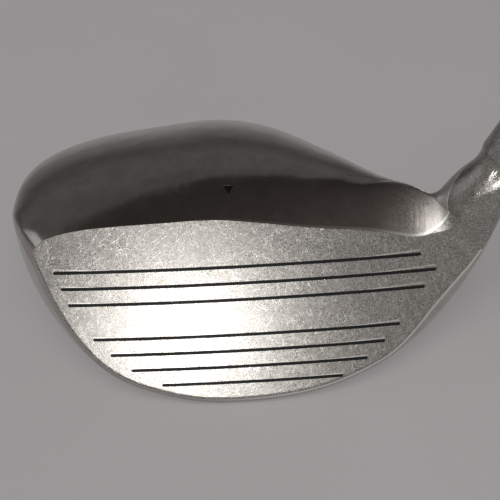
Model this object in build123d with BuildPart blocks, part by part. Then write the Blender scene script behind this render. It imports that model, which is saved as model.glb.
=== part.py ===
# Fairway wood: a hollow steel head with a welded sole plate, a bonded stepped steel shaft and a
# rubber grip, soled flat on the ground. +X runs from toe to heel, +Y to the back, +Z up.
# The origin is on the flat land that the sole rests on, below the middle of the face. The shaft
# axis lies in the plane Y = 0.
from build123d import *
from collections import namedtuple
from math import cos, radians, sin
import os

os.makedirs("parts", exist_ok=True)

# ---- head, outside (mm, degrees) ----
toe_reach = 51.0
back_reach = 61.0
crown_height = 46.3
loft_angle = 21.0
lie_angle = 59.0
face_radius = 305.0
face_forward = 15.0
face_centre_height = 22.2
land_depth = 0.25
edge_roll = 2.0

# ---- neck and hosel ----
hosel_radius = 6.1
hosel_length = 28.0
neck_height = 41.5
bend_radius = 13.0
neck_cut_x = 42.0
hosel_run_out = 6.0
shaft_ground_x = 32.2
hosel_bore_depth = 32.0

# ---- head, inside ----
crown_wall = 0.9
sole_wall = 1.4
skirt_wall = 1.1
face_wall = 2.2
cavity_heel_share = 0.94
foam_clearance = 0.3
cut_room = 200.0                    # larger than the head, for cuts right across it

# ---- sole plate and its port ----
plate_front_width = 54.0
plate_back_width = 30.0
plate_front_y = -10.0
plate_back_y = 42.0
plate_middle_x = 0.0
plate_corner = 9.0
port_y = 31.0
port_radius = 3.0
port_pad_radius = 5.5
port_pad_top = 5.2
port_screw_foot = 1.0
port_screw_length = 3.6
port_hex_width = 3.0
port_hex_depth = 1.8
port_clearance = 0.05

# ---- face scorelines and alignment mark ----
line_width = 0.75
line_depth = 0.45
paint_recess = 0.06
line_pitch = 3.8
line_gap = 8.25
upper_line_height = 10.4
line_ends = (
    (-40.5, 42.6), (-39.0, 46.0), (-37.7, 43.3),
    (-32.6, 37.4), (-28.9, 33.8), (-24.4, 29.7), (-17.6, 23.9),
)
upper_lines = 3
line_reach = 10.0
mark_width = 2.5
mark_length = 2.3
mark_y = 0.9
mark_depth = 0.35

# ---- shaft ----
club_length = 1040.0
tip_radius = 4.255
butt_radius = 7.62
shaft_wall = 0.45
step_count = 12
step_pitch = 44.45
step_run = 1.6
butt_length = 275.0
glue_gap = 0.15
hosel_plug_length = 3.5
tip_weight_length = 18.0
fit_clearance = 0.05

# ---- ferrule, shaft band and grip ----
ferrule_length = 19.0
ferrule_lip = 0.5
ferrule_groove = 0.25
ferrule_groove_places = (3.0, 5.0)
band_step = 9
band_length = 34.0
band_thickness = 0.12
grip_length = 266.0
tape_thickness = 0.25
tape_margin = 6.0
grip_mouth_radius = 9.1
grip_butt_radius = 13.1
cap_radius = 14.2
cap_flange = 3.2
cap_dome = 2.4
cap_wall = 3.0
vent_radius = 1.5

# ---- derived places ----
ROUND = 0.5523                      # handle share of a Bezier quarter circle
lie = radians(lie_angle)
loft_tilt = radians(loft_angle)
bend_offset = hosel_radius + bend_radius
pivot_z = neck_height + bend_radius
hosel_base = (pivot_z - cos(lie) * bend_offset) / sin(lie)
pivot_x = shaft_ground_x + cos(lie) * hosel_base - sin(lie) * bend_offset
hosel_top = hosel_base + hosel_length
bore_bottom = hosel_top - hosel_bore_depth
bore_radius = tip_radius + glue_gap
shaft_start = bore_bottom + hosel_plug_length + fit_clearance
shaft_end = club_length - cap_wall
step_rise = (butt_radius - tip_radius) / step_count
step_start = shaft_end - butt_length - step_count * step_pitch
grip_start = club_length - grip_length
cap_start = club_length - cap_dome - cap_flange
grip_bore = butt_radius + tape_thickness
face_normal = Vector(0, -cos(loft_tilt), sin(loft_tilt))
face_centre = Vector(0, -face_forward, face_centre_height)
ball_centre = face_centre - face_normal * face_radius
neck_front = hosel_radius + fit_clearance
face_plane = Plane(origin=face_centre, x_dir=(1, 0, 0), z_dir=face_normal)
shaft_axis = Vector(cos(lie), 0, sin(lie))


def on_shaft(distance):
    """Plane square to the shaft axis, that far along it from the ground."""
    origin = Vector(shaft_ground_x, 0, 0) + shaft_axis * distance
    return Plane(origin=origin, x_dir=(0, 1, 0), z_dir=shaft_axis)


# ---- head sections ----
# A section is four quarter curves: from the nose over the top to the back, and back under the
# sole. Where the quarters meet at the nose and the back they lean, which leaves a soft crease.
Outline = namedtuple(
    "Outline",
    "nose_y nose_z top_y top_z back_y back_z sole_y sole_z crown_full sole_full nose_lean back_lean",
)
middle = Outline(
    -face_forward - 24.2, 6.4, 8.0, crown_height, back_reach, 19.5, 6.1, -land_depth,
    0.20, 1.00, 0.06, 0.15,
)
toe_tip = Outline(10.0, 36.0, 10.0, 36.0, 10.0, 36.0, 10.0, 36.0, 0.93, 0.67, 0.21, 0.20)
heel = Outline(
    -face_forward + 0.6, 19.6, 2.5, neck_height, 7.5, 29.3, -3.5, 8.2, 0.03, 0.79, 0.03, 0.03,
)
hosel_z = neck_height - hosel_radius
hosel = Outline(
    -hosel_radius, hosel_z, 0.0, neck_height, hosel_radius, hosel_z, 0.0,
    neck_height - 2 * hosel_radius, ROUND, ROUND, 0.0, 0.0,
)
hosel_ring = hosel._replace(nose_z=0, top_z=hosel_radius, back_z=0, sole_z=-hosel_radius)


def bow(share, power):
    """Superellipse: 1 in the middle, 0 at the tip."""
    return (1 - share**power) ** (1 / power)


def ease(share):
    return share * share * (3 - 2 * share)


def blend(start, end, shares):
    return Outline(*(a + (b - a) * s for a, b, s in zip(start, end, shares)))


def toe_outline(share):
    """Section outline that share of the way from the middle to the toe tip."""
    return blend(middle, toe_tip, (
        1 - bow(share, 1.60), share**0.90,
        share, 1 - bow(share, 1.59),
        1 - bow(share, 2.4), share**2,
        1 - bow(share, 2), (1 - bow(share, 1.67)) ** 2.00,
        share**2.53, share**1.27, share, share,
    ))


def heel_outline(share):
    """Section outline that share of the way from the middle to the start of the neck."""
    soft = ease(share)
    return blend(middle, heel, (
        share**1.22, share**2.08,
        soft, share**1.41,
        (soft + share**1.75) / 2, soft**1.04,
        soft, share**2.48,
        share**1.41, soft, soft, soft,
    ))


def neck_outline(share):
    """Section outline that share of the way round the bend from the heel to the hosel."""
    early = 1 - (1 - share) ** 2
    outline = blend(heel, hosel, [early] * len(heel))
    under = heel.sole_z + (hosel.sole_z - heel.sole_z) * (1 - (1 - share) ** 1.8)
    return outline._replace(sole_z=under)


def inset(outline, extra):
    """The same outline drawn in by the walls of the head and an extra clearance."""
    return outline._replace(
        nose_y=outline.nose_y + skirt_wall + extra,
        top_z=outline.top_z - crown_wall - extra,
        back_y=outline.back_y - skirt_wall - extra,
        sole_z=outline.sole_z + sole_wall + extra,
    )


def quarter(start_y, start_z, end_y, end_z, full, lean):
    """Points of a quarter curve that starts level and ends upright, or leaning."""
    wide = end_y - start_y
    return (
        (start_y, start_z),
        (start_y + full * wide, start_z),
        (end_y - lean * ROUND * wide, end_z + ROUND * (start_z - end_z)),
        (end_y, end_z),
    )


def section(plane, o):
    with BuildLine(plane) as ring:
        Bezier(*quarter(o.top_y, o.top_z, o.nose_y, o.nose_z, o.crown_full, o.nose_lean)[::-1])
        Bezier(*quarter(o.top_y, o.top_z, o.back_y, o.back_z, ROUND, o.back_lean))
        Bezier(*quarter(o.sole_y, o.sole_z, o.back_y, o.back_z, o.sole_full, o.back_lean)[::-1])
        Bezier(*quarter(o.sole_y, o.sole_z, o.nose_y, o.nose_z, o.sole_full, o.nose_lean))
    return Face(Wire(ring.edges()))


def across(x):
    """Plane across the head at x, its own x axis to the back and its y axis up."""
    return Plane(origin=(x, 0, 0), x_dir=(0, 1, 0), z_dir=(1, 0, 0))


def round_bend(share):
    """Plane that share of the way round the neck bend, turned about the bend's pivot."""
    turn = lie * share
    origin = (pivot_x + pivot_z * sin(turn), 0, pivot_z * (1 - cos(turn)))
    return Plane(origin=origin, x_dir=(0, 1, 0), z_dir=(cos(turn), 0, sin(turn)))


TOE_TURNS = (80, 66, 50, 34, 17)
BODY_SHARES = (0, 0.25, 0.5, 0.75)
NECK_SHARES = (0, 0.55, 1)


def toe_sections(reach, shape):
    places = [sin(radians(turn)) for turn in TOE_TURNS]
    return [section(across(-reach * place), shape(toe_outline(place))) for place in places]


def ball(radius):
    """Solid ball about the middle of the face's curve."""
    with BuildPart() as solid_ball:
        with Locations(ball_centre):
            Sphere(radius)
    return solid_ball.part


def hollow(extra):
    """Closed shape of the room inside the head, behind the face wall."""
    reach = toe_reach - skirt_wall - extra
    sections = [Vertex(-reach, toe_tip.top_y, toe_tip.top_z)]
    sections += toe_sections(reach, lambda outline: inset(outline, extra))
    for share in (*BODY_SHARES, cavity_heel_share):
        sections.append(section(across(pivot_x * share), inset(heel_outline(share), extra)))
    face_back = ball(face_radius - face_wall - extra)
    with BuildPart() as room:
        loft(sections=sections)
        add(face_back, mode=Mode.INTERSECT)
    return room.part


# ---- blank of the head: lofted body, bent neck and straight hosel ----
blank_sections = [Vertex(-toe_reach, toe_tip.top_y, toe_tip.top_z)]
blank_sections += toe_sections(toe_reach, lambda outline: outline)
for body_share in BODY_SHARES:
    blank_sections.append(section(across(pivot_x * body_share), heel_outline(body_share)))
for neck_share in NECK_SHARES:
    blank_sections.append(section(round_bend(neck_share), neck_outline(neck_share)))
blank_sections.append(section(on_shaft(hosel_base + hosel_run_out), hosel_ring))

# The struck face is a shallow ball, with the same radius for bulge and roll. The neck stands
# proud of it at the heel, where an upright plane just in front of the hosel takes over.
struck_ball = ball(face_radius)
with BuildPart() as face_limit:
    add(struck_ball)
    with BuildSketch(Plane.YZ.offset(neck_cut_x)):
        with Locations((back_reach / 2 - neck_front, crown_height)):
            Rectangle(back_reach, 2 * crown_height)
    extrude(amount=cut_room)

with BuildPart() as head_blank:
    loft(sections=blank_sections)
    extrude(blank_sections[-1], amount=hosel_length - hosel_run_out, dir=shaft_axis)
    add(face_limit.part, mode=Mode.INTERSECT)
    with BuildSketch(Plane.XY):
        Rectangle(cut_room, cut_room)
    extrude(amount=-crown_height, mode=Mode.SUBTRACT)
    struck_face = faces().filter_by(GeomType.SPHERE)[0]
    fillet(struck_face.edges().sort_by(Axis.Z)[:-1], edge_roll)

head_room = hollow(0)


# ---- sole plate: the middle of the sole, welded in all round ----
with BuildPart() as plate_plan:
    with BuildSketch(Plane.XY):
        with Locations((plate_middle_x, (plate_front_y + plate_back_y) / 2)):
            half_depth = (plate_back_y - plate_front_y) / 2
            Polygon(
                (-plate_front_width / 2, -half_depth), (plate_front_width / 2, -half_depth),
                (plate_back_width / 2, half_depth), (-plate_back_width / 2, half_depth),
            )
        fillet(vertices(), plate_corner)
    extrude(amount=crown_height / 2)

with BuildPart() as sole_plate:
    add(head_blank.part)
    add(head_room, mode=Mode.SUBTRACT)
    add(plate_plan.part, mode=Mode.INTERSECT)
    with BuildSketch(Plane.XY.offset(port_screw_foot)):
        with Locations((plate_middle_x, port_y)):
            Circle(port_pad_radius)
    extrude(amount=port_pad_top - port_screw_foot)
    with Locations((plate_middle_x, port_y, 0)):
        Cylinder(port_radius, 4 * port_pad_top, mode=Mode.SUBTRACT)
sole_plate.part.label = "sole_plate"
export_step(sole_plate.part, "parts/sole_plate.step")


# ---- port screw: headless, hex socket below, seals the filling port ----
with BuildPart() as port_screw:
    with BuildSketch(Plane.XY.offset(port_screw_foot)):
        with Locations((plate_middle_x, port_y)):
            Circle(port_radius - port_clearance)
    extrude(amount=port_screw_length)
    with BuildSketch(Plane.XY.offset(port_screw_foot)):
        with Locations((plate_middle_x, port_y)):
            RegularPolygon(port_hex_width / 2, 6, major_radius=False)
    extrude(amount=port_hex_depth, mode=Mode.SUBTRACT)
port_screw.part.label = "port_screw"
export_step(port_screw.part, "parts/port_screw.step")


# ---- foam core: light foam that fills the head and deadens its ring ----
with BuildPart() as foam_core:
    add(hollow(foam_clearance))
    with BuildSketch(Plane.XY):
        with Locations((plate_middle_x, port_y)):
            Circle(port_pad_radius + foam_clearance)
    extrude(amount=port_pad_top + foam_clearance, mode=Mode.SUBTRACT)
foam_core.part.label = "foam_core"
export_step(foam_core.part, "parts/foam_core.step")


# ---- scorelines: seven straight grooves in the face, filled with paint ----
def line_height(index):
    """Height of a scoreline up the face from its centre; a gap parts the upper three lines."""
    gap = line_gap - line_pitch if index >= upper_lines else 0
    return upper_line_height - index * line_pitch - gap


def line_fill(index, top):
    """A scoreline from its floor up to top below the face, following the face's curve."""
    left, right = line_ends[index]
    surface, floor = ball(face_radius - top), ball(face_radius - line_depth)
    with BuildPart() as fill:
        with BuildSketch(face_plane):
            with Locations(((left + right) / 2, line_height(index))):
                SlotOverall(right - left, line_width)
        extrude(amount=line_reach, both=True)
        add(surface, mode=Mode.INTERSECT)
        add(floor, mode=Mode.SUBTRACT)
    return fill.part


# ---- alignment mark: a small painted triangle sunk in the crown, its point to the face ----
def mark_fill(top):
    """The triangle from its floor up to top below the crown, following the crown."""
    surface = Pos(0, 0, -top) * head_blank.part
    floor = Pos(0, 0, -mark_depth) * head_blank.part
    with BuildPart() as fill:
        with BuildSketch(Plane.XY.offset(crown_height / 2)):
            Polygon(
                (0, mark_y - mark_length / 2), (mark_width / 2, mark_y + mark_length / 2),
                (-mark_width / 2, mark_y + mark_length / 2), align=None,
            )
        extrude(amount=crown_height)
        add(surface, mode=Mode.INTERSECT)
        add(floor, mode=Mode.SUBTRACT)
    return fill.part


# ---- head casting: crown, skirt, face wall and hosel in one thin steel casting ----
with BuildPart() as head_casting:
    add(head_blank.part)
    add(head_room, mode=Mode.SUBTRACT)
    add(plate_plan.part, mode=Mode.SUBTRACT)
    with BuildSketch(on_shaft(bore_bottom)):
        Circle(bore_radius)
    extrude(amount=hosel_bore_depth + 1, mode=Mode.SUBTRACT)
    for line in range(len(line_ends)):
        add(line_fill(line, -1), mode=Mode.SUBTRACT)
    add(mark_fill(0), mode=Mode.SUBTRACT)
head_casting.part.label = "head_casting"
export_step(head_casting.part, "parts/head_casting.step")

for line in range(len(line_ends)):
    with BuildPart() as scoreline_paint:
        add(line_fill(line, paint_recess))
    scoreline_paint.part.label = f"scoreline_paint_{line + 1}"
    export_step(scoreline_paint.part, f"parts/scoreline_paint_{line + 1}.step")

with BuildPart() as alignment_mark:
    add(mark_fill(paint_recess))
alignment_mark.part.label = "alignment_mark"
export_step(alignment_mark.part, "parts/alignment_mark.step")


# ---- turned pieces: profiles of radius and distance along the shaft axis ----
profile_plane = Plane(
    origin=(shaft_ground_x, 0, 0), x_dir=(0, 1, 0), z_dir=(sin(lie), 0, -cos(lie)),
)
turning_axis = Axis((shaft_ground_x, 0, 0), shaft_axis)


def step_points(inward):
    """Stepped line of the shaft from tip to butt, moved inward by the wall."""
    points = [(tip_radius - inward, shaft_start)]
    for step in range(step_count):
        here = step_start + step * step_pitch
        radius = tip_radius + step * step_rise - inward
        points += [(radius, here), (radius + step_rise, here + step_run)]
    return points + [(butt_radius - inward, shaft_end)]


# ---- shaft: one drawn steel tube, stepped up in diameter towards the grip ----
with BuildPart() as shaft:
    with BuildSketch(profile_plane):
        with BuildLine():
            Polyline(*step_points(0), *step_points(shaft_wall)[::-1], close=True)
        make_face()
    revolve(axis=turning_axis)
shaft.part.label = "shaft"
export_step(shaft.part, "parts/shaft.step")


def tube(inner, outer, start, end):
    """Plain ring or rod about the shaft axis."""
    with BuildPart() as ring:
        with BuildSketch(on_shaft(start)):
            Circle(outer)
            if inner > 0:
                Circle(inner, mode=Mode.SUBTRACT)
        extrude(amount=end - start)
    return ring.part


# ---- hosel plug: keeps the glue out of the head while the shaft is set ----
with BuildPart() as hosel_plug:
    add(tube(0, bore_radius - fit_clearance, bore_bottom, bore_bottom + hosel_plug_length))
hosel_plug.part.label = "hosel_plug"
export_step(hosel_plug.part, "parts/hosel_plug.step")

# ---- epoxy sleeve: the glue line between the shaft's tip and the hosel bore ----
with BuildPart() as epoxy_sleeve:
    add(tube(tip_radius, bore_radius, shaft_start, hosel_top - fit_clearance))
epoxy_sleeve.part.label = "epoxy_sleeve"
export_step(epoxy_sleeve.part, "parts/epoxy_sleeve.step")

# ---- tip weight: a small rod glued in the tip of the shaft to set the swing weight ----
with BuildPart() as tip_weight:
    weight_radius = tip_radius - shaft_wall - fit_clearance
    add(tube(0, weight_radius, shaft_start, shaft_start + tip_weight_length))
tip_weight.part.label = "tip_weight"
export_step(tip_weight.part, "parts/tip_weight.step")

# ---- ferrule: plastic collar that tapers from the hosel to the shaft, two fine grooves ----
with BuildPart() as ferrule:
    with BuildSketch(profile_plane):
        with BuildLine():
            bore = tip_radius + fit_clearance
            lip = bore + ferrule_lip
            ferrule_end = hosel_top + ferrule_length
            foot = (hosel_radius, hosel_top)
            side = Spline(foot, (lip, ferrule_end), tangents=((0, 1), (-0.18, 1)))
            Polyline(side @ 1, (bore, ferrule_end), (bore, hosel_top), foot)
        make_face()
        for groove in ferrule_groove_places:
            with Locations(side @ (groove / ferrule_length)):
                Rectangle(2 * ferrule_groove, ferrule_groove, mode=Mode.SUBTRACT)
    revolve(axis=turning_axis)
ferrule.part.label = "ferrule"
export_step(ferrule.part, "parts/ferrule.step")

# ---- shaft band: a thin foil label round one step of the shaft ----
with BuildPart() as shaft_band:
    band_radius = tip_radius + band_step * step_rise
    band_start = step_start + (band_step - 1) * step_pitch + (step_pitch + step_run - band_length) / 2
    add(tube(band_radius, band_radius + band_thickness, band_start, band_start + band_length))
shaft_band.part.label = "shaft_band"
export_step(shaft_band.part, "parts/shaft_band.step")

# ---- grip tape: double-sided tape that builds up the butt under the grip ----
with BuildPart() as grip_tape:
    add(tube(butt_radius, grip_bore, grip_start + tape_margin, shaft_end))
grip_tape.part.label = "grip_tape"
export_step(grip_tape.part, "parts/grip_tape.step")

# ---- grip: long tapered rubber sleeve with a rounded mouth ----
with BuildPart() as grip:
    with BuildSketch(profile_plane):
        with BuildLine():
            waist = grip_start + 0.35 * grip_length
            swell = Spline(
                (grip_mouth_radius, grip_start + 1),
                ((grip_mouth_radius + grip_butt_radius) / 2 - 0.5, waist),
                (grip_butt_radius, cap_start),
            )
            Polyline(swell @ 1, (grip_bore, cap_start), (grip_bore, grip_start),
                     (grip_mouth_radius - 0.6, grip_start), swell @ 0)
        make_face()
    revolve(axis=turning_axis)
grip.part.label = "grip"
export_step(grip.part, "parts/grip.step")

# ---- grip end cap: moulded cap with a domed end and a vent hole down the axis ----
with BuildPart() as grip_end_cap:
    with BuildSketch(profile_plane):
        with BuildLine():
            Polyline(
                (grip_bore, cap_start), (cap_radius - 0.8, cap_start), (cap_radius, cap_start + 0.8),
                (cap_radius, club_length - cap_dome),
            )
            rim = (cap_radius, club_length - cap_dome)
            crown = (vent_radius, club_length)
            shoulder = (0.8 * cap_radius, club_length - 0.3 * cap_dome)
            ThreePointArc(rim, shoulder, crown)
            Polyline(crown, (vent_radius, shaft_end), (grip_bore, shaft_end), (grip_bore, cap_start))
        make_face()
    revolve(axis=turning_axis)
grip_end_cap.part.label = "grip_end_cap"
export_step(grip_end_cap.part, "parts/grip_end_cap.step")
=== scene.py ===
import math
import bpy
from mathutils import Matrix, Vector


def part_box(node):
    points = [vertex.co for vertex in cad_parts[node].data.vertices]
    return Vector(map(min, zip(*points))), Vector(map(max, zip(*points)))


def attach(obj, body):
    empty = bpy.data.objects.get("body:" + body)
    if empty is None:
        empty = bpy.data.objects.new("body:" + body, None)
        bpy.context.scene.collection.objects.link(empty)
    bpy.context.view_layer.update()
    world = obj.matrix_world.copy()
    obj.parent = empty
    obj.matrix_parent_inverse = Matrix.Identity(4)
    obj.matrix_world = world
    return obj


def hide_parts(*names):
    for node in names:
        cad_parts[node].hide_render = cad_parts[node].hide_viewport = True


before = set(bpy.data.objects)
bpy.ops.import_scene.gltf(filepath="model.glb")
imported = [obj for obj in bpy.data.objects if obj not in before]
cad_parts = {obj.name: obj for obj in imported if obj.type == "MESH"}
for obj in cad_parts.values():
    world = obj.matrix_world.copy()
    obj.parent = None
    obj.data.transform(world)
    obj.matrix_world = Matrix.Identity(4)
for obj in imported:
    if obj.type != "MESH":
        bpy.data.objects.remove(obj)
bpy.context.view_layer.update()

# ---- Where the club is looked at from ----
# The club rests on its sole with the face towards the camera, which looks down at it from in
# front with the head filling the picture and the neck running out at the upper right.
face_centre = Vector((0.0, -0.015, 0.0222))
look_down = math.radians(35.0)
camera_roll = math.radians(3.0)
camera_distance = 0.300
camera_aim_right = 0.003375
camera_aim_up = 0.01395
bpy.ops.object.camera_add()
camera = bpy.context.object
camera.data.sensor_width = 36.0
camera.data.lens = 96.0
camera.data.clip_start = 0.01
camera.data.clip_end = 20.0
ahead = Vector((0.0, math.cos(look_down), -math.sin(look_down)))
level = Vector((1.0, 0.0, 0.0))
upright = level.cross(ahead)
across = math.cos(camera_roll) * level - math.sin(camera_roll) * upright
above = math.sin(camera_roll) * level + math.cos(camera_roll) * upright
place = face_centre - ahead * camera_distance + across * camera_aim_right + above * camera_aim_up
turn = Matrix((across, above, -ahead)).transposed().to_4x4()
camera.matrix_world = Matrix.Translation(place) @ turn
bpy.context.scene.camera = camera
bpy.context.scene.view_settings.view_transform = "Standard"

# ---- The room: a dim studio with pale walls and a dark ceiling ----
# Bare metal mirrors it: walls palest at the floor, a darker band low down, a dark ceiling, and
# less light from behind. The camera itself sees a plain grey backdrop.
wall_tones = (
    (0.00, (0.40, 0.40, 0.40)),
    (0.12, (0.32, 0.315, 0.31)),
    (0.24, (0.150, 0.142, 0.137)),
    (0.40, (0.255, 0.245, 0.240)),
    (0.80, (0.225, 0.214, 0.208)),
    (0.86, (0.080, 0.072, 0.066)),
    (1.00, (0.066, 0.058, 0.053)),
)
dimming_starts, dimming_ends, rear_brightness = -0.15, 0.35, 0.50
backdrop_grey = (0.395, 0.388, 0.390, 1.0)


def link(tree, source, target):
    tree.links.new(source, target)


def new_node(tree, kind, **values):
    """A node with some of its inputs set by name."""
    node = tree.nodes.new(kind)
    for name, value in values.items():
        node.inputs[name.replace("_", " ")].default_value = value
    return node


def ramp(tree, source, low, high, out_low=0.0, out_high=1.0):
    """Stretches a value from one range to another and holds it there."""
    node = new_node(tree, "ShaderNodeMapRange", From_Min=low, From_Max=high,
                    To_Min=out_low, To_Max=out_high)
    link(tree, source, node.inputs["Value"])
    return node.outputs["Result"]


def fill(tree, sockets, values):
    """Sets each socket to a plain value, or links it to what gives the value."""
    for socket, value in zip(sockets, values):
        if isinstance(value, (int, float, tuple)):
            socket.default_value = value
        else:
            link(tree, value, socket)


def math_node(tree, operation, first, second):
    node = tree.nodes.new("ShaderNodeMath")
    node.operation = operation
    fill(tree, node.inputs, (first, second))
    return node.outputs[0]


def mix_colour(tree, factor, first, second, blend="MIX"):
    node = tree.nodes.new("ShaderNodeMix")
    node.data_type = "RGBA"
    node.blend_type = blend
    fill(tree, (node.inputs[0], node.inputs[6], node.inputs[7]), (factor, first, second))
    return node.outputs[2]


world = bpy.data.worlds.new("studio_room")
bpy.context.scene.world = world
world.use_nodes = True
room = world.node_tree
room.nodes.clear()
direction = room.nodes.new("ShaderNodeSeparateXYZ")
link(room, room.nodes.new("ShaderNodeTexCoord").outputs["Generated"], direction.inputs[0])
walls = room.nodes.new("ShaderNodeValToRGB")
link(room, direction.outputs["Z"], walls.inputs["Fac"])
walls.color_ramp.interpolation = "EASE"
stops = walls.color_ramp.elements
while len(stops) < len(wall_tones):
    stops.new(0.5)
for stop, (height, tone) in zip(stops, wall_tones):
    stop.position = height
    stop.color = (*tone, 1.0)
behind = ramp(room, direction.outputs["Y"], dimming_starts, dimming_ends, 1.0, rear_brightness)
sky = new_node(room, "ShaderNodeBackground", Strength=1.0)
link(room, mix_colour(room, 1.0, walls.outputs["Color"], behind, "MULTIPLY"), sky.inputs["Color"])
backdrop = new_node(room, "ShaderNodeBackground", Color=backdrop_grey)
choose = room.nodes.new("ShaderNodeMixShader")
link(room, room.nodes.new("ShaderNodeLightPath").outputs["Is Camera Ray"], choose.inputs["Fac"])
link(room, sky.outputs[0], choose.inputs[1])
link(room, backdrop.outputs[0], choose.inputs[2])
link(room, choose.outputs[0], room.nodes.new("ShaderNodeOutputWorld").inputs["Surface"])

# ---- The floor: plain pale grey paper under and behind the club ----
# A wide flat sheet with a very slight cloudiness. Its tone for the camera and for reflections is
# part of its own colour, and it still takes the club's soft shadow.
floor_width = 12.0
floor_drop = 0.0002
paper_colour = (0.42, 0.415, 0.415, 1.0)
paper_glow = (0.145, 0.142, 0.144, 1.0)
bpy.ops.object.select_all(action="DESELECT")
bpy.ops.mesh.primitive_plane_add(size=floor_width, location=(0.0, 0.0, -floor_drop))
floor = bpy.context.object
floor.name = "floor_paper"
bpy.ops.object.transform_apply(location=True, rotation=True, scale=True)
paper = bpy.data.materials.new("grey_paper")
paper.use_nodes = True
tree = paper.node_tree
tree.nodes.clear()
cloud = new_node(tree, "ShaderNodeTexNoise", Scale=9.0, Detail=3.0)
link(tree, tree.nodes.new("ShaderNodeTexCoord").outputs["Object"], cloud.inputs["Vector"])
cloudiness = ramp(tree, cloud.outputs["Fac"], 0.3, 0.7, 0.96, 1.04)
ray = tree.nodes.new("ShaderNodeLightPath")
seen = math_node(tree, "MAXIMUM", ray.outputs["Is Camera Ray"], ray.outputs["Is Glossy Ray"])
matte = new_node(tree, "ShaderNodeBsdfDiffuse", Color=paper_colour)
glow = new_node(tree, "ShaderNodeEmission", Color=paper_glow)
link(tree, math_node(tree, "MULTIPLY", seen, cloudiness), glow.inputs["Strength"])
both = tree.nodes.new("ShaderNodeAddShader")
link(tree, matte.outputs[0], both.inputs[0])
link(tree, glow.outputs[0], both.inputs[1])
link(tree, both.outputs[0], tree.nodes.new("ShaderNodeOutputMaterial").inputs["Surface"])
floor.data.materials.append(paper)

# ---- The lamps: a low soft box in front and four wide panels ----
# The low box is mirrored in the lofted face, and the high key panel lights the head and floor.
# The rear, heel and toe panels are dim, and only keep the back, neck and toe from going flat.


def soft_box(name, place, aim, width, height, watts, tint):
    bpy.ops.object.light_add(type="AREA", location=place)
    lamp = bpy.context.object
    lamp.name = name
    lamp.data.shape = "RECTANGLE"
    lamp.data.size = width
    lamp.data.size_y = height
    lamp.data.energy = watts
    lamp.data.color = tint
    lamp.rotation_euler = (Vector(aim) - Vector(place)).to_track_quat("-Z", "Y").to_euler()


soft_box("front_box", place=(-0.096, -0.7, 0.037), aim=(-0.01, 0.0, 0.02),
         width=0.075, height=0.045, watts=1.35, tint=(1.0, 0.99, 0.975))
soft_box("key_panel", place=(-0.1, -1.3, 1.6), aim=(0.0, 0.05, 0.02),
         width=1.2, height=1.2, watts=13.0, tint=(1.0, 0.985, 0.965))
soft_box("rim_panel", place=(0.75, 1.15, 0.30), aim=(0.02, 0.02, 0.03),
         width=0.5, height=0.4, watts=1.2, tint=(1.0, 1.0, 1.0))
soft_box("heel_panel", place=(0.9, -0.7, 0.5), aim=(0.0, 0.0, 0.03),
         width=0.7, height=0.5, watts=0.6, tint=(1.0, 0.97, 0.93))
soft_box("toe_panel", place=(-1.1, 0.1, 0.6), aim=(0.0, 0.0, 0.03),
         width=0.8, height=0.5, watts=0.6, tint=(0.95, 0.97, 1.0))

# ---- Head casting: crown, skirt, face wall and neck ----
# One thin stainless steel casting. The face is blasted dull and is covered in fine scratches from
# play; the crown and neck are brushed to a darker satin. Only its finish is made here.
# The bright band along the topline and the bright lines above the cut lines are painted highlights.
loft = math.radians(21.0)
face_radius = 0.305
face_skin, face_fade = 0.00004, 0.00012
# The painted topline highlight lies between these two depths inside the face's ball.
topline_highlight_inner, topline_highlight_outer = 0.00022, 0.00042
neck_starts, neck_ends = 0.032, 0.050
blast_dark, blast_pale = (0.20, 0.188, 0.174, 1.0), (0.50, 0.478, 0.448, 1.0)
blast_dull = (0.20, 0.19, 0.178, 1.0)
satin_dark, satin_pale = (0.40, 0.368, 0.345, 1.0), (0.50, 0.470, 0.448, 1.0)
satin_fleck = (0.80, 0.77, 0.735, 1.0)
scratch_and_highlight_bright, topline_highlight_colour = (0.93, 0.91, 0.88, 1.0), (0.95, 0.94, 0.92, 1.0)
scratch_strength, edge_highlight_strength, mark_height = 0.5, 0.65, 0.7
# Painted highlights over the cut lines: how far above each line they sit, and how wide they are.
edge_highlight_above_line, edge_highlight_core, edge_highlight_fade = 0.00046, 0.00008, 0.00018


def add_input(group, name, kind, value):
    socket = group.interface.new_socket(name=name, in_out="INPUT", socket_type=kind)
    socket.default_value = value


def scratch_group():
    """Short fine scratches in several directions, out as a mask from 0 to 1."""
    group = bpy.data.node_groups.new("fine_scratches", "ShaderNodeTree")
    add_input(group, "Vector", "NodeSocketVector", (0.0, 0.0, 0.0))
    add_input(group, "Size", "NodeSocketFloat", 5000.0)
    group.interface.new_socket(name="Mask", in_out="OUTPUT", socket_type="NodeSocketFloat")
    start = group.nodes.new("NodeGroupInput")
    end = group.nodes.new("NodeGroupOutput")
    angles_and_lengths = ((0.5, 9.0), (1.2, 7.0), (1.9, 11.0), (2.7, 8.0))
    shift_along, shift_across = 0.37, 0.11
    faintest, fullest = 0.63, 0.76
    total = None
    for number, (angle, length) in enumerate(angles_and_lengths):
        lay = new_node(group, "ShaderNodeMapping", Rotation=(0.0, 0.0, angle),
                       Scale=(length, 1.0, 1.0),
                       Location=(shift_along * number, shift_across * number, 0.0))
        lay.vector_type = "TEXTURE"
        hair = new_node(group, "ShaderNodeTexNoise", Detail=1.0)
        link(group, start.outputs["Vector"], lay.inputs["Vector"])
        link(group, lay.outputs["Vector"], hair.inputs["Vector"])
        link(group, start.outputs["Size"], hair.inputs["Scale"])
        lines = ramp(group, hair.outputs["Fac"], faintest, fullest)
        total = lines if total is None else math_node(group, "MAXIMUM", total, lines)
    link(group, total, end.inputs["Mask"])
    return group


fine_scratches = scratch_group()


def new_material(name):
    """A fresh material with only a Principled shader, and its tree and shader."""
    material = bpy.data.materials.new(name)
    material.use_nodes = True
    tree = material.node_tree
    return material, tree, tree.nodes["Principled BSDF"]


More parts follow.
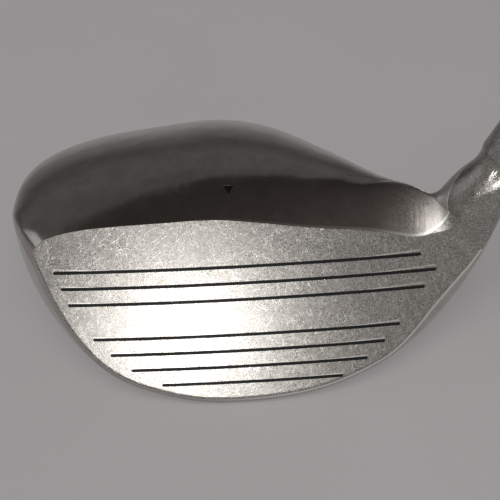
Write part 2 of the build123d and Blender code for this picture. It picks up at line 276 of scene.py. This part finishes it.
def noise(tree, vector, size, detail, roughness=0.5):
    """A cloudy value from 0 to 1 that follows the given place."""
    node = new_node(tree, "ShaderNodeTexNoise", Scale=size, Detail=detail, Roughness=roughness)
    link(tree, vector, node.inputs["Vector"])
    return node.outputs["Fac"]


def own_place(tree):
    """Where a point of the surface lies in the shared frame."""
    return tree.nodes.new("ShaderNodeTexCoord").outputs["Object"]


def add_relief(tree, shader, height, strength, depth):
    """Turns a height into a fine bump on the surface."""
    bump = new_node(tree, "ShaderNodeBump", Strength=strength, Distance=depth)
    link(tree, height, bump.inputs["Height"])
    link(tree, bump.outputs["Normal"], shader.inputs["Normal"])


def line_edge_highlights(tree, across, up):
    """Painted highlights along the upper edges of the cut lines, as a mask."""
    total = 0.0
    for line in range(1, 8):
        low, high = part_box(f"scoreline_paint_{line}")
        height = ((low[2] + high[2]) / 2 - face_centre.z) / math.cos(loft)
        gap = math_node(tree, "SUBTRACT", up, height + edge_highlight_above_line)
        edge_highlight_band = ramp(tree, math_node(tree, "ABSOLUTE", gap, 0.0), edge_highlight_core, edge_highlight_fade, 1.0, 0.0)
        inside = math_node(tree, "MULTIPLY", math_node(tree, "GREATER_THAN", across, low[0]),
                           math_node(tree, "LESS_THAN", across, high[0]))
        total = math_node(tree, "MAXIMUM", total, math_node(tree, "MULTIPLY", edge_highlight_band, inside))
    return total


def over(tree, mask, under, top):
    """Goes from one value to another as the mask rises."""
    change = math_node(tree, "SUBTRACT", top, under)
    return math_node(tree, "ADD", under, math_node(tree, "MULTIPLY", mask, change))


def blasted_face(tree, spot, across, height_up, cloud):
    """The face wall's mask, painted topline highlight mask, colour, roughness and relief."""
    normal = Vector((0.0, -math.cos(loft), math.sin(loft)))
    ball = tree.nodes.new("ShaderNodeVectorMath")
    ball.operation = "DISTANCE"
    ball.inputs[1].default_value = face_centre - normal * face_radius
    link(tree, spot, ball.inputs[0])
    away = ball.outputs["Value"]
    on_face = ramp(tree, away, face_radius - face_fade, face_radius - face_skin)
    # Painted highlight: a thin bright band just off the face's edge, stronger towards the heel,
    # stands in for light caught by the topline.
    topline_highlight = math_node(tree, "MULTIPLY",
                    ramp(tree, away, face_radius - topline_highlight_outer, face_radius - topline_highlight_inner),
                    ramp(tree, across, -0.012, 0.012, 0.12, 0.9))

    # Turned so that the scratch pattern lies in the plane of the face.
    face_lay = new_node(tree, "ShaderNodeMapping", Rotation=(loft - math.pi / 2, 0.0, 0.0))
    link(tree, spot, face_lay.inputs["Vector"])
    nicks = tree.nodes.new("ShaderNodeGroup")
    nicks.node_tree = fine_scratches
    nicks.inputs["Size"].default_value = 4600.0
    link(tree, face_lay.outputs["Vector"], nicks.inputs["Vector"])

    up = math_node(tree, "DIVIDE", math_node(tree, "SUBTRACT", height_up, face_centre.z),
                   math.cos(loft))
    # Painted highlights: a bright line just above each cut line stands in for light caught by its
    # upper edge, with a slight bump.
    edge_highlights = math_node(tree, "MULTIPLY", line_edge_highlights(tree, across, up), edge_highlight_strength)
    scratches = math_node(tree, "MULTIPLY", nicks.outputs["Mask"], scratch_strength)
    scratches_and_highlights = math_node(tree, "MAXIMUM", scratches, edge_highlights)
    grain = noise(tree, spot, 4200.0, 2.0, 0.7)
    colour = mix_colour(tree, ramp(tree, grain, 0.35, 0.65), blast_dark, blast_pale)
    colour = mix_colour(tree, ramp(tree, cloud, 0.4, 0.62, 0.0, 0.30), colour, blast_dull)
    # Real scratches and the painted line highlights share one bright colour.
    colour = mix_colour(tree, scratches_and_highlights, colour, scratch_and_highlight_bright)
    rough = ramp(tree, grain, 0.3, 0.7, 0.24, 0.36)
    relief = math_node(tree, "ADD", grain, math_node(tree, "MULTIPLY", scratches_and_highlights, mark_height))
    return on_face, topline_highlight, colour, rough, relief


def steel(name, has_face):
    """Worn cast stainless steel: blasted where it is the face, satin elsewhere."""
    material, tree, shader = new_material(name)
    shader.inputs["Metallic"].default_value = 1.0
    spot = own_place(tree)
    parted = tree.nodes.new("ShaderNodeSeparateXYZ")
    link(tree, spot, parted.inputs[0])
    cloud = noise(tree, spot, 210.0, 5.0, 0.65)
    satin = noise(tree, spot, 3000.0, 2.0, 0.6)

    neck = ramp(tree, parted.outputs["X"], neck_starts, neck_ends)
    flecks = math_node(tree, "MULTIPLY", ramp(tree, satin, 0.35, 0.65),
                       ramp(tree, neck, 0.0, 1.0, 0.15, 0.6))
    colour = mix_colour(tree, ramp(tree, cloud, 0.35, 0.65), satin_dark, satin_pale)
    colour = mix_colour(tree, flecks, colour, satin_fleck)
    rough = math_node(tree, "ADD", ramp(tree, satin, 0.3, 0.7, 0.13, 0.20),
                      math_node(tree, "MULTIPLY", neck, 0.24))
    relief = math_node(tree, "MULTIPLY", satin, ramp(tree, neck, 0.0, 1.0, 0.25, 0.9))
    if has_face:
        on_face, topline_highlight, face_colour, face_rough, face_relief = blasted_face(
            tree, spot, parted.outputs["X"], parted.outputs["Z"], cloud)
        # The painted topline highlight goes over the crown's satin.
        colour = mix_colour(tree, topline_highlight, colour, topline_highlight_colour)
        colour = mix_colour(tree, on_face, colour, face_colour)
        rough = over(tree, on_face, rough, face_rough)
        relief = over(tree, on_face, relief, face_relief)
    link(tree, colour, shader.inputs["Base Color"])
    link(tree, rough, shader.inputs["Roughness"])
    add_relief(tree, shader, relief, strength=0.5, depth=0.00005)
    return material


def finish_node(node, material):
    """Gives a CAD node its finish."""
    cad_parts[node].data.materials[0] = material


finish_node("head_casting", steel("head_steel", has_face=True))
finish_node("sole_plate", steel("sole_steel", has_face=False))

# ---- Scoreline paint and alignment mark ----
# Black enamel laid in the cut lines and in the small triangle on the crown, wiped level and a
# little dusty. It lies just below the metal.
enamel_black, enamel_dusty = (0.001, 0.001, 0.001, 1.0), (0.008, 0.0075, 0.007, 1.0)
enamel, tree, shader = new_material("black_enamel")
shader.inputs["Specular IOR Level"].default_value = 0.25
dust = noise(tree, own_place(tree), 1800.0, 3.0)
link(tree, mix_colour(tree, ramp(tree, dust, 0.45, 0.8), enamel_black, enamel_dusty),
     shader.inputs["Base Color"])
link(tree, ramp(tree, dust, 0.3, 0.7, 0.45, 0.7), shader.inputs["Roughness"])
for line in range(1, 8):
    finish_node(f"scoreline_paint_{line}", enamel)
finish_node("alignment_mark", enamel)

# ---- Port screw: the small socket screw that seals the foam port in the sole ----
# Turned stainless steel, a little brighter than the sole, with dirt in its socket.
screw_dull, screw_bright = (0.30, 0.29, 0.28, 1.0), (0.62, 0.60, 0.58, 1.0)
screw_steel, tree, shader = new_material("screw_steel")
shader.inputs["Metallic"].default_value = 1.0
turned = noise(tree, own_place(tree), 1500.0, 3.0)
link(tree, mix_colour(tree, ramp(tree, turned, 0.3, 0.7), screw_dull, screw_bright),
     shader.inputs["Base Color"])
link(tree, ramp(tree, turned, 0.3, 0.7, 0.28, 0.45), shader.inputs["Roughness"])
finish_node("port_screw", screw_steel)

# ---- What the head and tip hold inside: foam, plug, glue, weight and tape ----
# Pale expanding foam, a dark plastic plug, amber epoxy, a brass rod and cream paper tape. They are
# hidden in use, and are seen only when the club is taken apart.


def plain_stuff(name, dark, light, size, rough, depth, metal=0.0):
    """A simple solid stuff with a cloudy colour and a fine surface."""
    material, tree, shader = new_material(name)
    shader.inputs["Metallic"].default_value = metal
    mottle = noise(tree, own_place(tree), size, 4.0, 0.6)
    mask = ramp(tree, mottle, 0.3, 0.7)
    link(tree, mix_colour(tree, mask, (*dark, 1.0), (*light, 1.0)), shader.inputs["Base Color"])
    link(tree, ramp(tree, mask, 0.0, 1.0, *rough), shader.inputs["Roughness"])
    add_relief(tree, shader, mottle, strength=0.4, depth=depth)
    return material


finish_node("foam_core", plain_stuff(
    "foam", dark=(0.55, 0.48, 0.30), light=(0.78, 0.72, 0.52),
    size=900.0, rough=(0.8, 0.95), depth=0.0004))
finish_node("hosel_plug", plain_stuff(
    "plug_plastic", dark=(0.10, 0.10, 0.10), light=(0.16, 0.16, 0.16),
    size=700.0, rough=(0.5, 0.6), depth=0.00005))
finish_node("epoxy_sleeve", plain_stuff(
    "epoxy", dark=(0.30, 0.20, 0.08), light=(0.46, 0.34, 0.17),
    size=500.0, rough=(0.2, 0.4), depth=0.00003))
finish_node("tip_weight", plain_stuff(
    "brass", dark=(0.62, 0.44, 0.16), light=(0.80, 0.60, 0.28),
    size=600.0, rough=(0.25, 0.4), depth=0.00002, metal=1.0))
finish_node("grip_tape", plain_stuff(
    "tape", dark=(0.60, 0.56, 0.46), light=(0.74, 0.70, 0.60),
    size=1200.0, rough=(0.75, 0.9), depth=0.00005))

# ---- Ferrule: the turned plastic collar where the shaft enters the hosel ----
# Black cellulose plastic, buffed to a soft gloss with faint turning marks, pressed on the shaft.
finish_node("ferrule", plain_stuff(
    "ferrule_plastic", dark=(0.010, 0.010, 0.011), light=(0.022, 0.021, 0.021),
    size=1600.0, rough=(0.16, 0.30), depth=0.00001))

# ---- Shaft: stepped steel tube in bright nickel chrome ----
# Drawn steel, plated and polished. Fine rings run round it from the polishing, and light dust and
# handling dull it in patches.
shaft_lean = math.radians(31.0)
shaft_up = Vector((math.sin(shaft_lean), 0.0, math.cos(shaft_lean)))
ring_stretch = 12.0
chrome_clean, chrome_handled = (0.72, 0.72, 0.72, 1.0), (0.62, 0.615, 0.60, 1.0)
chrome, tree, shader = new_material("shaft_chrome")
shader.inputs["Metallic"].default_value = 1.0
spot = own_place(tree)
along = new_node(tree, "ShaderNodeMapping", Rotation=(0.0, shaft_lean, 0.0),
                 Scale=(ring_stretch, ring_stretch, 1.0))
along.vector_type = "TEXTURE"
link(tree, spot, along.inputs["Vector"])
rings = noise(tree, along.outputs["Vector"], 5200.0, 2.0)
smears = noise(tree, spot, 45.0, 4.0)
link(tree, mix_colour(tree, ramp(tree, smears, 0.35, 0.7), chrome_clean, chrome_handled),
     shader.inputs["Base Color"])
link(tree, math_node(tree, "ADD", ramp(tree, smears, 0.35, 0.7, 0.07, 0.16),
                     ramp(tree, rings, 0.4, 0.6, 0.0, 0.04)), shader.inputs["Roughness"])
finish_node("shaft", chrome)

# ---- Shaft band: thin printed foil round the shaft below the grip ----
# Satin silver film with two dark stripes at each end and no lettering, wrapped on and clear coated.
stripes_from_middle = ((0.0125, 0.0014), (0.0090, 0.0006))
stripe_edge = 0.0001
silver_dark, silver_pale = (0.34, 0.34, 0.35, 1.0), (0.50, 0.50, 0.51, 1.0)
stripe_colour = (0.03, 0.032, 0.04, 1.0)
band_low, band_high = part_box("shaft_band")
foil, tree, shader = new_material("band_foil")
shader.inputs["Metallic"].default_value = 0.6
shader.inputs["Coat Weight"].default_value = 0.5
spot = own_place(tree)
reach = tree.nodes.new("ShaderNodeVectorMath")
reach.operation = "SUBTRACT"
reach.inputs[1].default_value = (Vector(band_low) + Vector(band_high)) / 2
link(tree, spot, reach.inputs[0])
height_on = tree.nodes.new("ShaderNodeVectorMath")
height_on.operation = "DOT_PRODUCT"
height_on.inputs[1].default_value = shaft_up
link(tree, reach.outputs[0], height_on.inputs[0])
from_middle = math_node(tree, "ABSOLUTE", height_on.outputs["Value"], 0.0)
stripes = 0.0
for middle, half_width in stripes_from_middle:
    off = math_node(tree, "ABSOLUTE", math_node(tree, "SUBTRACT", from_middle, middle), 0.0)
    stripe = ramp(tree, off, half_width, half_width + stripe_edge, 1.0, 0.0)
    stripes = math_node(tree, "MAXIMUM", stripes, stripe)
fleck = noise(tree, spot, 2500.0, 2.0)
silver = mix_colour(tree, ramp(tree, fleck, 0.3, 0.7), silver_dark, silver_pale)
link(tree, mix_colour(tree, stripes, silver, stripe_colour), shader.inputs["Base Color"])
link(tree, ramp(tree, fleck, 0.3, 0.7, 0.30, 0.42), shader.inputs["Roughness"])
finish_node("shaft_band", foil)

# ---- Grip and its end cap: moulded black rubber sleeve over tape ----
# A tapered rubber tube with rows of small sunk diamonds for hold, plain at the mouth and the butt.
# It is slid on wet over the tape, and its thick butt ends in a domed cap with a vent hole.
shaft_foot = Vector((0.0322, 0.0, 0.0))
grip_mouth, grip_butt = 0.774, 1.0344
grip_length = grip_butt - grip_mouth
half_grip = grip_length / 2
mouth_radius, butt_radius, bore_radius = 0.0091, 0.0131, 0.00795
around, rows, plain_rows, rows_between_rings = 96, 150, 7, 25
row_height = grip_length / rows
diamond_border, diamond_depth = 0.00012, 0.00035
mouth_rounding, lining_reach = 0.93, 0.004
bpy.ops.object.select_all(action="DESELECT")
bpy.ops.mesh.primitive_cylinder_add(vertices=around, radius=mouth_radius, depth=grip_length,
                                    end_fill_type="NOTHING", location=(0.0, 0.0, 0.0))
grip = bpy.context.object
grip.name = "rubber_grip"


def pick(piece, test, kind):
    """Selects the vertices, edges or faces of a piece whose place passes the test."""
    bpy.ops.object.mode_set(mode="EDIT")
    bpy.ops.mesh.select_mode(type=kind)
    bpy.ops.mesh.select_all(action="DESELECT")
    bpy.ops.object.mode_set(mode="OBJECT")
    mesh = piece.data
    if kind == "FACE":
        for face in mesh.polygons:
            face.select = test(face.center)
    elif kind == "EDGE":
        for edge in mesh.edges:
            first, second = (mesh.vertices[end].co for end in edge.vertices)
            edge.select = test(first, second)
    else:
        for corner in mesh.vertices:
            corner.select = test(corner.co)
    bpy.ops.object.mode_set(mode="EDIT")


def widen(ratio, height):
    """Scales what is selected about the grip's axis at a height."""
    bpy.ops.transform.resize(value=(ratio, ratio, 1.0), center_override=(0.0, 0.0, height))


def in_diamond(point):
    """Whether a face of the skin belongs to one of the sunk diamonds."""
    row = int((point.z + half_grip) / row_height)
    step = int((math.atan2(point.y, point.x) + math.pi) / (2 * math.pi) * around)
    if row < plain_rows or row >= rows - plain_rows or row % rows_between_rings in (0, 1):
        return False
    return (row + step) % 4 == 0 and (row - step) % 4 == 0 or (row + step) % 4 == 2


pick(grip, lambda point: point.z > 0, "VERT")
widen(butt_radius / mouth_radius, half_grip)
pick(grip, lambda first, second: abs(first.z - second.z) > half_grip, "EDGE")
bpy.ops.mesh.subdivide(number_cuts=rows - 1)
pick(grip, in_diamond, "FACE")
bpy.ops.mesh.inset(thickness=diamond_border, depth=-diamond_depth, use_individual=True)
pick(grip, lambda point: point.z < -half_grip + row_height / 4, "VERT")
bpy.ops.mesh.extrude_region_move()
widen(mouth_rounding, -half_grip)
bpy.ops.mesh.extrude_region_move()
widen(bore_radius / (mouth_radius * mouth_rounding), -half_grip)
bpy.ops.mesh.extrude_region_move(TRANSFORM_OT_translate={"value": (0.0, 0.0, lining_reach)})
bpy.ops.mesh.select_all(action="SELECT")
bpy.ops.mesh.normals_make_consistent(inside=False)
bpy.ops.object.mode_set(mode="OBJECT")
bpy.ops.object.shade_smooth_by_angle(angle=math.radians(35.0))
grip.rotation_euler = (0.0, shaft_lean, 0.0)
grip.location = shaft_foot + shaft_up * ((grip_mouth + grip_butt) / 2)
bpy.ops.object.transform_apply(location=True, rotation=True, scale=True)


def rubber(name, dark, light):
    material, tree, shader = new_material(name)
    spot = own_place(tree)
    pores = noise(tree, spot, 3200.0, 3.0, 0.7)
    wear = noise(tree, spot, 60.0, 4.0)
    link(tree, mix_colour(tree, ramp(tree, wear, 0.35, 0.7), (*dark, 1.0), (*light, 1.0)),
         shader.inputs["Base Color"])
    link(tree, ramp(tree, wear, 0.3, 0.7, 0.78, 0.60), shader.inputs["Roughness"])
    add_relief(tree, shader, pores, strength=0.5, depth=0.00008)
    return material


grip.data.materials.append(rubber("grip_rubber", dark=(0.012, 0.012, 0.012),
                                  light=(0.030, 0.029, 0.028)))
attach(grip, "root")
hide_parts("grip")
finish_node("grip_end_cap", rubber("cap_rubber", dark=(0.014, 0.014, 0.014),
                                   light=(0.026, 0.025, 0.025)))
